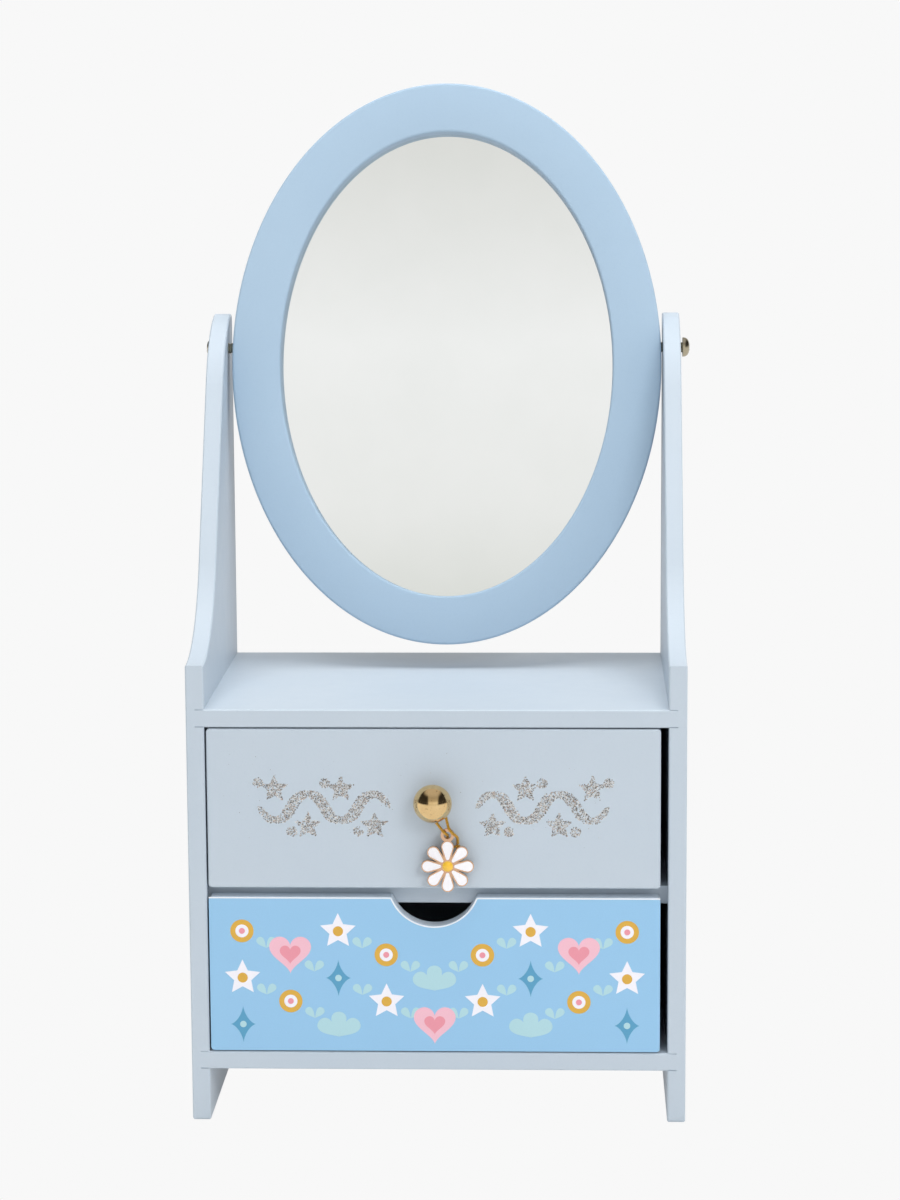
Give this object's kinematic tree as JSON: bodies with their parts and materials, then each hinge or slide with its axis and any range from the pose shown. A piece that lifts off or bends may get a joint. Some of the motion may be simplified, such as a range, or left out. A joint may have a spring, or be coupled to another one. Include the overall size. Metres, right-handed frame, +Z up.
{
  "type": "jewelry mirror cabinet",
  "caption": "Small painted jewellery cabinet with drawers, a tilting oval mirror between side arms, a brass knob and a hanging daisy charm.",
  "frame": {"origin": "on the floor, under the middle of the whole object", "axes": "+Z up, +Y to the back, +X to the right of someone facing the drawers"},
  "size_m": [0.1701, 0.1278, 0.3437],
  "materials": {
    "paint": "fibreboard in satin pale blue-grey paint",
    "printed_paper": "printed paper under a thin clear film",
    "hardboard": "bare hardboard",
    "mirror_glass": "silvered float glass",
    "brass": "turned and polished",
    "steel": "nickel-plated steel",
    "charm_metal": "polished pink-gold plate",
    "white_enamel": "gloss enamel",
    "yellow_enamel": "gloss enamel",
    "gold_thread": "twisted metallic thread"
  },
  "bodies": {
    "cabinet": {"side_panel_left": "paint", "side_panel_right": "paint", "bottom_board": "paint", "divider_shelf": "paint", "top_board": "paint", "back_panel": "paint"},
    "upper_drawer": {"upper_drawer_front": "paint", "upper_drawer_side_left": "paint", "upper_drawer_side_right": "paint", "upper_drawer_back": "paint", "upper_drawer_bottom": "paint", "drawer_knob": "brass", "knob_screw": "steel"},
    "lower_drawer": {"lower_drawer_front": "paint", "lower_drawer_print": "printed_paper", "lower_drawer_side_left": "paint", "lower_drawer_side_right": "paint", "lower_drawer_back": "paint", "lower_drawer_bottom": "paint"},
    "mirror": {"mirror_frame": "paint", "mirror_glass": "mirror_glass", "mirror_backing": "hardboard", "pivot_screw_left": "steel", "pivot_screw_right": "steel"},
    "charm": {"charm_plate": "charm_metal", "charm_petals": "white_enamel", "charm_centre": "yellow_enamel", "charm_cord": "gold_thread", "cord_knot": "gold_thread"}
  },
  "joints": [
    {"name": "upper_drawer_slide", "type": "slide", "parent": "cabinet", "child": "upper_drawer", "axis": [0, -1, 0], "range_m": [0, 0.085]},
    {"name": "lower_drawer_slide", "type": "slide", "parent": "cabinet", "child": "lower_drawer", "axis": [0, -1, 0], "range_m": [0, 0.085]},
    {"name": "mirror_tilt", "type": "hinge", "parent": "cabinet", "child": "mirror", "pos_m": [0, 0.04454, 0.2517], "axis": [1, 0, 0], "continuous": true},
    {"name": "charm_swing", "type": "hinge", "parent": "upper_drawer", "child": "charm", "pos_m": [-0.001, -0.05516, 0.1102], "axis": [0, 1, 0], "range_deg": [-90, 90]}
  ]
}
